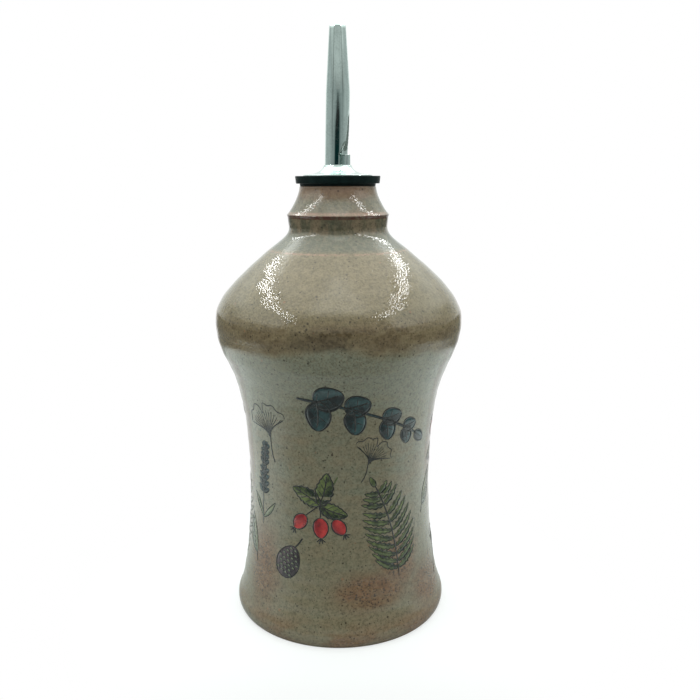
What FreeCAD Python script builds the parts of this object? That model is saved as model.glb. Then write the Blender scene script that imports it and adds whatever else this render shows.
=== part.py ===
import FreeCAD, Part
import math
import os
import re
import Sketcher
from FreeCAD import Placement, Rotation, Vector

# Oil dispenser: a hand-thrown stoneware bottle, closed by a free-flow pourer.  The pourer is a ribbed
# rubber stopper, a flared chrome collar, and a tapered chrome spout with a thin vent tube pressed into
# its side.  Millimetres, +Z up, origin at the centre of the foot, the bottle's axis along Z.

SIZES = {
    # bottle, from the foot up: radii from the axis, each rise measured from the form below it
    "foot_radius": 43.8,        # ring that the bottle stands on
    "foot_bulge": 1.8,          # how far the pull points of the rolled foot stand out from that ring
    "flare_height": 6.8,        # top of the rolled foot
    "flare_inset": -1.0,        # how far the side stands in from the foot ring there
    "flare_slope": 0.45,        # lean of the side there, across for each up
    "waist_radius": 38.7,
    "waist_rise": 50.2,
    "belly_radius": 51.1,
    "belly_rise": 69.0,
    "crease_radius": 28.4,      # faint ring where the shoulder meets the neck's root
    "shoulder_rise": 28.4,
    "shoulder_slope": 1.21,     # fall of the shoulder at that ring, across for each up
    "root_rise": 9.4,           # sweep from the ring up into the neck
    "neck_radius": 20.2,
    "band_rise": 3.6,           # upright band below the ridge
    "band_flare": 0.3,
    "ridge_width": 0.35,        # how far the ridge overhangs the band
    "ridge_rise": 0.8,
    "mouth_rise": 11.45,        # hollow cone between ridge and rim
    "rim_radius": 15.5,
    "rim_round": 0.7,
    "bore_radius": 10.6,        # mouth of the bottle, where the stopper goes in
    "bore_round": 0.5,
    # shares of a rise over which a curve holds the direction it starts or ends with
    "flare_hold": 0.16,
    "waist_hold_below": 0.32,
    "waist_hold_above": 0.81,
    "belly_hold_below": 0.28,
    "belly_hold_above": 0.28,
    "shoulder_hold": 0.46,
    "root_hold": 0.42,
    "mouth_hold": 0.3,
    # stopper
    "stopper_length": 24.0,     # below the rim
    "end_room": 1.5,            # under the stopper, to the floor of the mouth
    "rib_count": 4,
    "rib_pitch": 4.6,
    "rib_depth": 1.1,
    "rib_clearance": 0.05,      # between ribs and mouth
    "step_inset": 0.2,          # the step under the flange stands in from the rim
    "step_height": 0.85,
    "flange_radius": 17.2,
    "flange_draft": 0.35,       # the flange's lower edge stands in from its upper one
    "flange_height": 3.0,
    "flange_round": 0.3,
    # collar
    "collar_radius": 13.9,
    "collar_edge": 0.4,
    "collar_height": 4.2,
    "collar_lip": 0.45,         # wall round the hole at the top
    "hole_clearance": 0.05,     # between the hole and the two tubes
    # spout and vent tube
    "tube_radius": 4.75,
    "tube_wall": 0.5,
    "tube_straight": 28.1,      # above the collar
    "tube_taper": 24.6,
    "tip_radius": 3.25,
    "tip_round": 0.2,
    "tube_lean": 0.7,           # how far the top of the straight run leans towards the vent tube
    "vent_radius": 1.7,
    "vent_wall": 0.35,
    "vent_standout": 0.4,       # how far the vent tube stands out past the round of the spout
    "vent_rise": 4.1,           # above the collar
    "vent_turn": 12.0,          # degrees that the vent tube is turned from +X towards the front
    "nest_clearance": 0.06,     # between the vent tube and the dent
    "dent_bend": 25.0,          # radius on which the dent turns outwards above the vent tube
    "dent_tilt": 13.0,          # degrees from upright at which it then runs out
    "dent_slant": 30.0,         # length of that last run, well clear of the spout at its end
    "overshoot": 2.0,           # how far a cutting shape runs past what it cuts
}

# places worked out from the sizes, each a formula of sizes and other places
PLACES = {
    "flare_radius": "foot_radius - flare_inset",
    "waist_height": "flare_height + waist_rise",
    "belly_height": "waist_height + belly_rise",
    "crease_height": "belly_height + shoulder_rise",
    "neck_height": "crease_height + root_rise",
    "band_height": "neck_height + band_rise",
    "ridge_height": "band_height + ridge_rise",
    "rim_height": "ridge_height + mouth_rise",
    "ridge_radius": "neck_radius + band_flare + ridge_width",
    "stopper_foot": "rim_height - stopper_length",
    "bore_floor": "stopper_foot - end_room",
    "rib_radius": "bore_radius - rib_clearance",
    "core_radius": "rib_radius - rib_depth",
    "step_radius": "rim_radius - step_inset",
    "step_top": "rim_height + step_height",
    "flange_top": "step_top + flange_height",
    "collar_top": "flange_top + collar_height",
    "hole_radius": "tube_radius + vent_standout + hole_clearance",
    "lip_radius": "hole_radius + collar_lip",
    "straight_top": "collar_top + tube_straight",
    "tip_height": "straight_top + tube_taper",
    "vent_offset": "tube_radius + vent_standout - vent_radius",
    "vent_top": "collar_top + vent_rise",
}

doc = FreeCAD.newDocument("oil_dispenser")
sheet = doc.addObject("Spreadsheet::Sheet", "Sizes")
for row, (alias, size) in enumerate(SIZES.items(), 1):
    sheet.set(f"A{row}", alias)
    sheet.set(f"B{row}", str(size))
    sheet.setAlias(f"B{row}", alias)
doc.recompute()


def bind(formula):
    """The formula as an expression: sizes point at the sheet, places are written out in sizes."""
    def point(match):
        word = match.group(0)
        return f"({bind(PLACES[word])})" if word in PLACES else f"Sizes.{word}"
    return re.sub(r"[a-z_]+", point, formula)


def measure(formula):
    """The number that the formula stands for now, to draw with before the dimensions take over."""
    return float(sheet.evalExpression(bind(formula)))


def origin_plane(body, role):
    return [(next(item for item in body.Origin.OriginFeatures if item.Role == role), "")]


def new_body(node):
    body = doc.addObject("PartDesign::Body", node.title().replace("_", "") + "Body")
    body.Label = node
    return body


def new_sketch(body, name, role, height=None, across=None):
    """A sketch on an origin plane of its body, moved along the plane's normal and across by formulas."""
    sketch = body.newObject("Sketcher::SketchObject", name)
    sketch.AttachmentSupport = origin_plane(body, role)
    sketch.MapMode = "FlatFace"
    for axis, formula in (("z", height), ("x", across)):
        if formula is not None:
            sketch.setExpression(f"AttachmentOffset.Base.{axis}", bind(formula))
    return sketch


def hold_point(sketch, index, place, across, up):
    """Dimensions that hold one point of a sketch across and up from the origin."""
    for kind, axis, formula in (("DistanceX", -2, across), ("DistanceY", -1, up)):
        if formula == "0":
            sketch.addConstraint(Sketcher.Constraint("PointOnObject", index, place, axis))
        else:
            item = sketch.addConstraint(
                Sketcher.Constraint(kind, -1, 1, index, place, measure(formula)))
            sketch.setExpression(f"Constraints[{item}]", bind(formula))


class Outline:
    """A closed outline of lines and cubic curves, drawn from point to point and fully dimensioned.

    Points are (across, up) formulas.  A curve has two pull points besides its ends.
    """

    def __init__(self, sketch, across, up):
        self.sketch, self.start = sketch, (across, up)
        self.here = Vector(measure(across), measure(up), 0)
        self.last = None

    def _join(self, index):
        """Starts a new stretch where the last one ended, or at the held first point."""
        if self.last is None:
            self.first = index
            hold_point(self.sketch, index, 1, *self.start)
        else:
            self.sketch.addConstraint(Sketcher.Constraint("Coincident", self.last, 2, index, 1))
        self.last = index

    def line(self, across, up):
        there = Vector(measure(across), measure(up), 0)
        index = self.sketch.addGeometry(Part.LineSegment(self.here, there), False)
        self._join(index)
        hold_point(self.sketch, index, 2, across, up)
        self.here = there

    def curve(self, pull_from, pull_to, end):
        points = [self.here] + [Vector(measure(across), measure(up), 0)
                                for across, up in (pull_from, pull_to, end)]
        cubic = Part.BSplineCurve()
        cubic.buildFromPolesMultsKnots(points, [4, 4], [0.0, 1.0], False, 3)
        index = self.sketch.addGeometry(cubic, False)
        pole = self.sketch.GeometryCount
        self.sketch.exposeInternalGeometry(index)
        self._join(index)
        hold_point(self.sketch, pole + 1, 3, *pull_from)
        hold_point(self.sketch, pole + 2, 3, *pull_to)
        hold_point(self.sketch, index, 2, *end)
        self.here = points[-1]

    def close(self):
        start = self.sketch.getPoint(self.first, 1)
        index = self.sketch.addGeometry(Part.LineSegment(self.here, start), False)
        self._join(index)
        self.sketch.addConstraint(Sketcher.Constraint("Coincident", index, 2, self.first, 1))


def revolve(body, sketch):
    turned = body.newObject("PartDesign::Revolution", sketch.Name + "Turned")
    turned.Profile = sketch
    turned.ReferenceAxis = (sketch, ["V_Axis"])
    turned.Angle = 360
    doc.recompute()
    return turned


def round_rings(body, base, places, size):
    """Rounds the base's level round edges at the given (radius, height) places."""
    wanted = [(2 * measure(radius), measure(height)) for radius, height in places]
    names = []
    for number, edge in enumerate(base.Shape.Edges, 1):
        box = edge.BoundBox
        if any(box.ZLength < 1e-3 and abs(box.ZMin - height) < 1e-3 and abs(box.XLength - width) < 1e-2
               for width, height in wanted):
            names.append(f"Edge{number}")
    if len(names) != len(wanted):
        raise ValueError(f"{body.Label}: {len(names)} edges found for {len(wanted)} roundings")
    rounded = body.newObject("PartDesign::Fillet", base.Name + "Rounded")
    rounded.Base = (base, names)
    rounded.setExpression("Radius", bind(size))
    doc.recompute()
    return rounded


def make_bottle():
    """The thrown body, turned from one outline; its mouth is bored as deep as the stopper goes."""
    body = new_body("bottle")
    outline = Outline(new_sketch(body, "BottleOutline", "XZ_Plane"), "0", "0")
    outline.line("foot_radius", "0")
    outline.curve(("foot_radius + foot_bulge", "flare_height * 0.24"),
                  ("foot_radius + foot_bulge", "flare_height * 0.74"),
                  ("flare_radius", "flare_height"))
    outline.curve(("flare_radius - flare_slope * waist_rise * flare_hold",
                   "flare_height + waist_rise * flare_hold"),
                  ("waist_radius", "waist_height - waist_rise * waist_hold_below"),
                  ("waist_radius", "waist_height"))
    outline.curve(("waist_radius", "waist_height + belly_rise * waist_hold_above"),
                  ("belly_radius", "belly_height - belly_rise * belly_hold_below"),
                  ("belly_radius", "belly_height"))
    outline.curve(("belly_radius", "belly_height + shoulder_rise * belly_hold_above"),
                  ("crease_radius + shoulder_slope * shoulder_rise * shoulder_hold",
                   "crease_height - shoulder_rise * shoulder_hold"),
                  ("crease_radius", "crease_height"))
    outline.curve(("crease_radius - shoulder_slope * root_rise * root_hold",
                   "crease_height + root_rise * root_hold"),
                  ("neck_radius", "neck_height - root_rise * root_hold"),
                  ("neck_radius", "neck_height"))
    outline.line("neck_radius + band_flare", "band_height")
    outline.line("ridge_radius", "ridge_height")
    outline.curve(("ridge_radius - (ridge_radius - rim_radius) * 0.45",
                   "ridge_height + mouth_rise * 0.22"),
                  ("rim_radius + 0.4 * rim_round", "rim_height - mouth_rise * mouth_hold"),
                  ("rim_radius", "rim_height"))
    outline.line("bore_radius", "rim_height")
    outline.line("bore_radius", "bore_floor")
    outline.line("0", "bore_floor")
    outline.close()
    turned = revolve(body, outline.sketch)
    lip = round_rings(body, turned, [("rim_radius", "rim_height")], "rim_round")
    round_rings(body, lip, [("bore_radius", "rim_height")], "bore_round")
    return body


def make_stopper():
    """Rubber stopper: barbed ribs grip the mouth, a step and a drafted flange cover the rim."""
    body = new_body("stopper")
    outline = Outline(new_sketch(body, "StopperOutline", "XZ_Plane"), "hole_radius", "stopper_foot")
    outline.line("core_radius", "stopper_foot")
    for rib in range(SIZES["rib_count"]):
        foot = f"stopper_foot + rib_pitch * {rib + 0.25}"
        outline.line("core_radius", foot)
        outline.line("rib_radius", f"{foot} + rib_pitch * 0.4")
        outline.line("rib_radius", f"{foot} + rib_pitch * 0.55")
        outline.line("core_radius", f"{foot} + rib_pitch * 0.65")
    outline.line("core_radius", "rim_height")
    outline.line("step_radius", "rim_height")
    outline.line("step_radius", "step_top")
    outline.line("flange_radius - flange_draft", "step_top")
    outline.line("flange_radius", "flange_top")
    outline.line("hole_radius", "flange_top")
    outline.close()
    turned = revolve(body, outline.sketch)
    round_rings(body, turned, [("flange_radius", "flange_top"),
                               ("flange_radius - flange_draft", "step_top")], "flange_round")
    return body


def make_collar():
    """Chrome collar: a hollow-sided cone that flares from the flange up to a thin lip round the tubes."""
    body = new_body("collar")
    outline = Outline(new_sketch(body, "CollarOutline", "XZ_Plane"), "hole_radius", "flange_top")
    outline.line("collar_radius", "flange_top")
    outline.line("collar_radius", "flange_top + collar_edge")
    outline.curve(("lip_radius + (collar_radius - lip_radius) * 0.36", "flange_top + collar_edge * 1.9"),
                  ("lip_radius + collar_lip", "flange_top + collar_height * 0.5"),
                  ("lip_radius", "collar_top - collar_lip * 0.5"))
    outline.line("lip_radius - collar_lip * 0.4", "collar_top")
    outline.line("hole_radius", "collar_top")
    outline.close()
    revolve(body, outline.sketch)
    return body


def make_dent_line(body, name, foot):
    """Line of the dent: upright beside the vent tube, then bending and slanting out of the spout."""
    sketch = new_sketch(body, name, "XZ_Plane")
    across, turn, bend = measure("vent_offset"), measure("vent_top"), measure("dent_bend")
    tilt = math.radians(measure("dent_tilt"))
    centre = Vector(across + bend, turn, 0)
    corner = centre + bend * Vector(-math.cos(tilt), math.sin(tilt), 0)
    end = corner + measure("dent_slant") * Vector(math.sin(tilt), math.cos(tilt), 0)
    upright, curved, slant = (sketch.addGeometry(stretch, False) for stretch in (
        Part.LineSegment(Vector(across, measure(foot), 0), Vector(across, turn, 0)),
        Part.ArcOfCircle(Part.Circle(centre, Vector(0, 0, 1), bend), math.pi - tilt, math.pi),
        Part.LineSegment(corner, end)))
    hold_point(sketch, upright, 1, "vent_offset", foot)
    hold_point(sketch, upright, 2, "vent_offset", "vent_top")
    sketch.addConstraint(Sketcher.Constraint("Tangent", upright, 2, curved, 2))
    sketch.addConstraint(Sketcher.Constraint("Tangent", curved, 1, slant, 1))
    for constraint, formula in ((Sketcher.Constraint("Radius", curved, bend), "dent_bend"),
                                (Sketcher.Constraint("Distance", slant, (end - corner).Length),
                                 "dent_slant"),
                                (Sketcher.Constraint("Angle", slant, math.pi / 2 - tilt),
                                 "90 - dent_tilt")):
        sketch.setExpression(f"Constraints[{sketch.addConstraint(constraint)}]", bind(formula))
    return sketch


def add_circle(body, name, radius, height, across):
    """A sketch with one circle, level, at a height and an offset from the axis."""
    sketch = new_sketch(body, name, "XY_Plane", height, across)
    sketch.addGeometry(Part.Circle(Vector(), Vector(0, 0, 1), measure(radius)), False)
    sketch.addConstraint(Sketcher.Constraint("Coincident", 0, 3, -1, 1))
    item = sketch.addConstraint(Sketcher.Constraint("Radius", 0, measure(radius)))
    sketch.setExpression(f"Constraints[{item}]", bind(radius))
    return sketch


def make_tube(node, inset, overrun):
    """The dented tube as a filled body, drawn in by an inset and run on past both its ends.

    With no inset it is the spout's outside.  Drawn in by the wall it is the spout's bore: the round
    gets smaller and the dent deeper by the same amount, so the wall keeps its thickness all over.
    """
    body = new_body(node)
    name = body.Name
    stations = ((f"tube_radius - {inset}", f"stopper_foot - {overrun}", "0 - vent_standout"),
                (f"tube_radius - {inset}", "collar_top", "0 - vent_standout"),
                (f"tube_radius - {inset}", "straight_top", "tube_lean - vent_standout"),
                (f"tip_radius - {inset}", f"tip_height + {overrun}", "tube_lean - vent_standout"))
    rings = [add_circle(body, f"{name}Ring{number}", *station)
             for number, station in enumerate(stations, 1)]
    tube = body.newObject("PartDesign::AdditiveLoft", name + "Tube")
    tube.Profile, tube.Sections, tube.Ruled = rings[0], rings[1:], True
    doc.recompute()
    line = make_dent_line(body, name + "DentLine", "stopper_foot - 2 * overshoot")
    dent = body.newObject("PartDesign::SubtractivePipe", name + "Dent")
    dent.Profile = add_circle(body, name + "DentRing", f"vent_radius + nest_clearance + {inset}",
                              "stopper_foot - 2 * overshoot", "vent_offset")
    dent.Spine = (line, ["Edge1", "Edge2", "Edge3"])
    doc.recompute()
    return body


def make_spout():
    """Chrome spout: straight, then tapered to the tip, its side dented to take the vent tube."""
    outside = make_tube("spout_outside", "0", "0")
    round_rings(outside, outside.Tip, [("tip_radius", "tip_height")], "tip_round")
    spout = doc.addObject("Part::Cut", "Spout")
    spout.Label = "spout"
    spout.Base = outside
    spout.Tool = make_tube("spout_bore", "tube_wall", "overshoot")
    turn_to_vent(spout)
    return spout


def make_vent_tube():
    """Thin air tube nested in the dent, cut off square a little above the collar."""
    body = new_body("vent_tube")
    sketch = new_sketch(body, "VentRing", "XY_Plane", "stopper_foot", "vent_offset")
    for number, radius in enumerate(("vent_radius", "vent_radius - vent_wall")):
        sketch.addGeometry(Part.Circle(Vector(), Vector(0, 0, 1), measure(radius)), False)
        sketch.addConstraint(Sketcher.Constraint("Coincident", number, 3, -1, 1))
        item = sketch.addConstraint(Sketcher.Constraint("Radius", number, measure(radius)))
        sketch.setExpression(f"Constraints[{item}]", bind(radius))
    pad = body.newObject("PartDesign::Pad", "VentPad")
    pad.Profile = sketch
    pad.setExpression("Length", bind("vent_top - stopper_foot"))
    turn_to_vent(body)
    return body


def turn_to_vent(piece):
    """Turns a piece drawn towards +X about the axis, to where the vent tube stands."""
    piece.Placement = Placement(Vector(), Rotation(Vector(0, 0, 1), -measure("vent_turn")))
    piece.setExpression("Placement.Rotation.Angle", bind("0 - vent_turn"))


def export(pieces):
    """Checks every object of the document and every piece, then writes one STEP file for each."""
    doc.recompute()
    failed = [item.Name for item in doc.Objects if {"Invalid", "Error"} & set(item.State)]
    if failed:
        raise RuntimeError("not built: " + ", ".join(failed))
    os.makedirs("parts", exist_ok=True)
    for piece in pieces:
        shape = piece.Shape
        if shape.isNull() or not shape.isValid() or len(shape.Solids) != 1:
            raise RuntimeError(f"{piece.Label} is not one valid solid")
        shape.exportStep(f"parts/{piece.Label}.step")
        box = shape.BoundBox
        print(f"{piece.Label:10} {shape.Volume:11.1f} mm3   z {box.ZMin:7.2f} to {box.ZMax:7.2f}")


export([make_bottle(), make_stopper(), make_collar(), make_spout(), make_vent_tube()])
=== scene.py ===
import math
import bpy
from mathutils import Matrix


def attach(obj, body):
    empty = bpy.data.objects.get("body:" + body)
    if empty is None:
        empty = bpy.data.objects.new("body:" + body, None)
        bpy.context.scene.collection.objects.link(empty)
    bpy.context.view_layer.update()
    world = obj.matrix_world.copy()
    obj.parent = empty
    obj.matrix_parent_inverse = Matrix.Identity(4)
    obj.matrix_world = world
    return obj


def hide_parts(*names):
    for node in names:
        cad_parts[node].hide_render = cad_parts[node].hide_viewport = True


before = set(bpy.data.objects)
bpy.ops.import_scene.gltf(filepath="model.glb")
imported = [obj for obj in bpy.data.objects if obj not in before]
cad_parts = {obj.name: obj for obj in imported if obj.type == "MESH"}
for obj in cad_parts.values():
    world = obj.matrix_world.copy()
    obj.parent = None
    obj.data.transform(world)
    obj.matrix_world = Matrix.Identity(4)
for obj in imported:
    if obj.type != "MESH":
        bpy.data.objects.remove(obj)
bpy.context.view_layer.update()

# %% [markdown]
# # A stoneware oil dispenser
# The object is a hand-thrown, glazed bottle with botanical transfers on its waist, closed by a bar
# pourer: black rubber stopper, flared chrome collar, tapered chrome spout and a thin air tube.
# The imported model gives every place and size.  This lesson dresses it: each visible piece becomes a
# surface worked out with numpy, and each finish a small network of shader nodes.

# %% Modules and units
from types import SimpleNamespace

import bpy
import numpy as np
from mathutils import Vector

MM = 0.001
print("frame nodes:", sorted(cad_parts))

# %% [markdown]
# ## A mesh from a grid of points
# Almost everything here is round, so one helper is enough: it takes rows of points that run around the
# piece and joins them with quads.  The same could be done with the Spin tool or a Screw modifier, but a
# grid of points lets any row be dented, leaned or roughened with plain array arithmetic.

# %% Skin over a grid
def new_piece(name, points, faces, replaced=()):
    """Makes a mesh object from points in metres and lists of vertex numbers, and enters it in the frame."""
    mesh = bpy.data.meshes.new(name)
    mesh.from_pydata(points.reshape(-1, 3).tolist(), [], faces)
    mesh.update()
    piece = bpy.data.objects.new(name, mesh)
    bpy.context.scene.collection.objects.link(piece)
    mesh.shade_smooth()
    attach(piece, "root")
    if replaced:
        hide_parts(*replaced)
    return piece


def grid_faces(rows, columns, first=0, around=True):
    """Quads between neighbouring rows and columns; going around, the last column meets the first."""
    row, column = np.meshgrid(np.arange(rows - 1), np.arange(columns if around else columns - 1),
                              indexing="ij")
    here, right = row * columns + column, row * columns + (column + 1) % columns
    quads = np.stack([here, right, right + columns, here + columns], axis=-1)
    return (quads.reshape(-1, 4) + first).tolist()


def turned_skin(name, rows, replaced=(), poles=True):
    """Closes rows of points around an axis into one skin.

    With poles, the first and last row are single points, joined to their neighbours by triangles.
    Without, the last row is joined back to the first, which makes a tube with a wall.
    """
    count, columns = rows.shape[:2]
    if not poles:
        points = rows.reshape(-1, 3)
        faces = grid_faces(count, columns)
        last, ring = (count - 1) * columns, np.arange(columns)
        faces += np.stack([last + ring, last + (ring + 1) % columns, (ring + 1) % columns, ring],
                          axis=-1).tolist()
        return new_piece(name, points, faces, replaced)
    body = rows[1:-1]
    points = np.concatenate([rows[:1, 0], body.reshape(-1, 3), rows[-1:, 0]])
    ring = np.arange(columns)
    low, high = ring + 1, ring + 1 + (count - 3) * columns
    faces = grid_faces(count - 2, columns, first=1)
    faces += np.stack([np.roll(low, -1), low, np.zeros(columns, int)], axis=-1).tolist()
    faces += np.stack([high, np.roll(high, -1), np.full(columns, len(points) - 1)], axis=-1).tolist()
    return new_piece(name, points, faces, replaced)


def circle(columns):
    """Angles around the axis, from the front (-Y) towards +X."""
    return np.linspace(0, 2 * math.pi, columns, endpoint=False)


def place(radius, angle, height):
    """Points in metres from radius and height in millimetres and the angle from the front."""
    radius, angle, height = np.broadcast_arrays(radius, angle, height)
    return np.stack([radius * np.sin(angle), -radius * np.cos(angle), height], axis=-1) * MM


print("a ring of 12 columns and 3 rows is skinned with", len(grid_faces(3, 12)), "quads")

# %% [markdown]
# ## Outlines
# A potter thinks of a bottle as one line turned on the wheel.  Each stretch of that line is either
# straight or a cubic curve with two pull points, so a whole outline needs few numbers.

# %% Lines and curves
def straight(start, end, count):
    """Points evenly spaced from start to end, without the end."""
    share = np.arange(count)[:, None] / count
    return (1 - share) * np.array(start, float) + share * np.array(end, float)


def cubic(start, pull_a, pull_b, end, count):
    """Points of the cubic Bezier curve: the four points weighted by the binomials of t and 1 - t."""
    t = np.arange(count)[:, None] / count
    weights = ((1 - t) ** 3, 3 * t * (1 - t) ** 2, 3 * t ** 2 * (1 - t), t ** 3)
    return sum(weight * np.array(point, float)
               for weight, point in zip(weights, (start, pull_a, pull_b, end)))


def corner(before, at, after, radius, count=5):
    """A small rounding of a corner: a quadratic curve that leaves and meets the two sides at a radius."""
    at = np.array(at, float)
    a, b = ((radius / np.hypot(*(np.array(side, float) - at))) * (np.array(side, float) - at) + at
            for side in (before, after))
    t = np.linspace(0, 1, count)[:, None]
    return (1 - t) ** 2 * a + 2 * t * (1 - t) * at + t ** 2 * b


print("a right angle rounded by 2 mm passes", corner((0, 0), (9, 0), (9, 9), 2, 3)[1].round(2))

# %% [markdown]
# ## Light
# The bottle stands in a small white tent that is open towards the camera: a bright panel overhead, a
# thin light strip along each side of it, paler walls and darkness in front.  Glossy glaze and chrome
# show all of that, so the surroundings matter as much as the materials.  Panel and strips are area
# lamps.  The walls could be lamps too, but as shades of the world, worked out from the way each ray
# goes, they get the soft edges and thin dark seams that chrome needs.  The camera sees them white.

# %% Node helpers
class Net:
    """Adds nodes to one tree and joins them, so that a material reads as a list of steps."""

    def __init__(self, tree):
        self.tree = tree
        tree.nodes.clear()

    def add(self, kind, inputs=None, **settings):
        """One node; inputs are constants or other nodes' sockets, settings are its own attributes."""
        node = self.tree.nodes.new("ShaderNode" + kind if not kind.startswith("Node") else kind)
        for name, value in settings.items():
            setattr(node, name, value)
        for name, value in (inputs or {}).items():
            self.feed(node.inputs[name], value)
        return node

    def feed(self, socket, value):
        """Joins a socket to another one, or else sets its constant."""
        if isinstance(value, bpy.types.NodeSocket):
            self.tree.links.new(value, socket)
        else:
            socket.default_value = value

    def maths(self, operation, a, b=0.0, clamp=False):
        """One arithmetic step on two values."""
        node = self.add("Math", operation=operation, use_clamp=clamp)
        self.feed(node.inputs[0], a)
        self.feed(node.inputs[1], b)
        return node.outputs[0]

    def times(self, a, b):
        """Product of two values; of two masks, the part where both hold."""
        return self.maths("MULTIPLY", a, b)

    def plus(self, a, b, clamp=False):
        """Sum of two values."""
        return self.maths("ADD", a, b, clamp)

    def minus(self, a, b):
        """The first value less the second."""
        return self.maths("SUBTRACT", a, b)

    def most(self, *masks):
        """The largest of several masks."""
        result = masks[0]
        for mask in masks[1:]:
            result = self.maths("MAXIMUM", result, mask)
        return result

    def ramp(self, value, low, high, to_low=0.0, to_high=1.0):
        """Smooth step: to_low below low, to_high above high, and 3 t^2 - 2 t^3 of the way in between."""
        return self.add("MapRange", {"Value": value, "From Min": low, "From Max": high,
                                     "To Min": to_low, "To Max": to_high},
                        interpolation_type="SMOOTHSTEP").outputs["Result"]

    def climb(self, length, low, high, to_low=0.0, to_high=1.0):
        """A ramp over a height or a distance, with its ends in millimetres."""
        return self.ramp(length, low * MM, high * MM, to_low, to_high)

    def mix(self, share, a, b, blend="MIX"):
        """Colour a, with a share of colour b laid over it."""
        node = self.add("Mix", data_type="RGBA", blend_type=blend)
        for socket, value in ((node.inputs[0], share), (node.inputs[6], a), (node.inputs[7], b)):
            self.feed(socket, value)
        return node.outputs[2]

    def noise(self, vector, size, detail=2.0, roughness=0.5, distortion=0.0):
        """Noise whose lumps are about the given size in millimetres."""
        return self.add("TexNoise", {"Vector": vector, "Scale": 1 / (size * MM), "Detail": detail,
                                     "Roughness": roughness, "Distortion": distortion}).outputs["Fac"]


def colour(red, green, blue):
    """Linear RGBA from a colour as a paint chart gives it, 0 to 255."""
    chart = np.array([red, green, blue]) / 255
    linear = np.where(chart <= 0.04045, chart / 12.92, ((chart + 0.055) / 1.055) ** 2.4)
    return (*linear.tolist(), 1.0)


print("mid grey of a paint chart in linear light:", round(colour(128, 128, 128)[0], 3))

# %% World: what glaze and chrome reflect
# a ray's bearing from the front as a share of half a turn, and the brightness of the wall there
WALL_LEVELS = ((0.0, 0.02), (0.1, 0.03), (0.14, 0.26), (0.25, 0.36), (0.5, 0.5), (0.72, 0.5),
               (0.738, 0.5), (0.743, 1.6), (0.75, 1.6), (0.755, 0.08), (0.77, 0.08), (0.777, 0.97),
               (1.0, 1.0))
SEAM, DIM, PAPER_TINT = 0.275, (0.08, 0.09, 0.085, 1), (0.94, 1.0, 0.97, 1.0)


def wall_tint(level):
    """Linear RGBA of a wall: a touch green when bright, and cooler still when dark."""
    return (max(level * 0.98 - 0.03, 0.004), level, level * 0.98, 1)


def build_world():
    """White to the camera.  Other rays get a tent: bright behind, half as bright aside, dim in front.

    The brightness follows the ray's bearing: a ramp over the angle between it and the front, with a
    thin lit corner and a dark seam where back and side walls meet, and a narrow dark gap straight
    ahead that narrows upwards and closes a little above eye level.  By the height of the ray (its
    direction's Z), the upper walls are brighter, up to a dark gap under the ceiling, and a dim seam
    shows where the opening ends.
    """
    world = bpy.data.worlds.new("tent")
    bpy.context.scene.world = world
    world.use_nodes = True
    net = Net(world.node_tree)
    way = net.add("SeparateXYZ", {"Vector": net.add("TexCoord").outputs["Generated"]}).outputs
    turned = net.maths("ARCTAN2", way["X"], net.times(way["Y"], -1))
    bearing = net.maths("DIVIDE", net.maths("ABSOLUTE", turned), math.pi)
    narrowing = net.times(net.ramp(way["Z"], 0.05, 0.11, 0.0, 0.14), net.ramp(bearing, 0.25, 0.14))
    walls = net.add("ValToRGB", {"Fac": net.plus(bearing, narrowing)})
    ramp = walls.color_ramp
    for _ in WALL_LEVELS[2:]:
        ramp.elements.new(0.5)
    for element, (position, level) in zip(ramp.elements, WALL_LEVELS):
        element.position, element.color = position, wall_tint(level)
    aside = net.ramp(bearing, 0.2, 0.3)
    above = net.most(net.ramp(way["Z"], 0.02, 0.3, 0.0, 0.42), net.ramp(way["Z"], 0.18, 0.26, 0.0, 0.56),
                     net.times(net.ramp(way["Z"], 0.08, 0.52, 0.0, 1.75), aside),
                     net.ramp(way["Z"], 0.5, 0.84, 0.0, 1.1))
    lit = net.mix(1.0, walls.outputs["Color"], net.mix(1.0, above, PAPER_TINT, "MULTIPLY"), "LIGHTEN")
    gap = net.times(net.ramp(way["Z"], 0.72, 0.76), aside)
    seam = net.times(net.ramp(net.maths("ABSOLUTE", net.minus(bearing, SEAM)), 0.022, 0.008),
                     net.ramp(way["Z"], 0.04, 0.12, 0.3, 0.8))
    lit = net.mix(net.most(gap, seam), lit, DIM)
    seen = net.mix(net.add("LightPath").outputs["Is Camera Ray"], lit, (1, 1, 1, 1))
    background = net.add("Background", {"Color": seen, "Strength": 1.0})
    net.feed(net.add("OutputWorld").inputs["Surface"], background.outputs[0])


build_world()
print("world:", len(bpy.context.scene.world.node_tree.nodes), "nodes,", len(WALL_LEVELS), "stops around")

# %% Lamps
def area_lamp(name, centre, target, size, power, tint=(1.0, 1.0, 1.0)):
    """A rectangular lamp at a place, facing a target; sizes in metres, power in watts."""
    light = bpy.data.lights.new(name, "AREA")
    light.shape, (light.size, light.size_y), light.energy, light.color = "RECTANGLE", size, power, tint
    lamp = bpy.data.objects.new(name, light)
    bpy.context.scene.collection.objects.link(lamp)
    lamp.location = centre
    lamp.rotation_euler = (Vector(target) - Vector(centre)).to_track_quat("-Z", "Y").to_euler()
    lamp.visible_camera = False
    return lamp


def fade_front(lamp, share):
    """Dims a lamp towards its front edge: a smooth ramp over that share of its length, so that its
    mirror image ends softly."""
    lamp.data.use_nodes = True
    net = Net(lamp.data.node_tree)
    across = net.add("SeparateXYZ", {"Vector": net.add("NewGeometry").outputs["Parametric"]}).outputs
    glow = net.add("Emission", {"Strength": net.ramp(across["Y"], 0.0, share)})
    net.feed(net.add("OutputLight").inputs["Surface"], glow.outputs[0])


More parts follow.
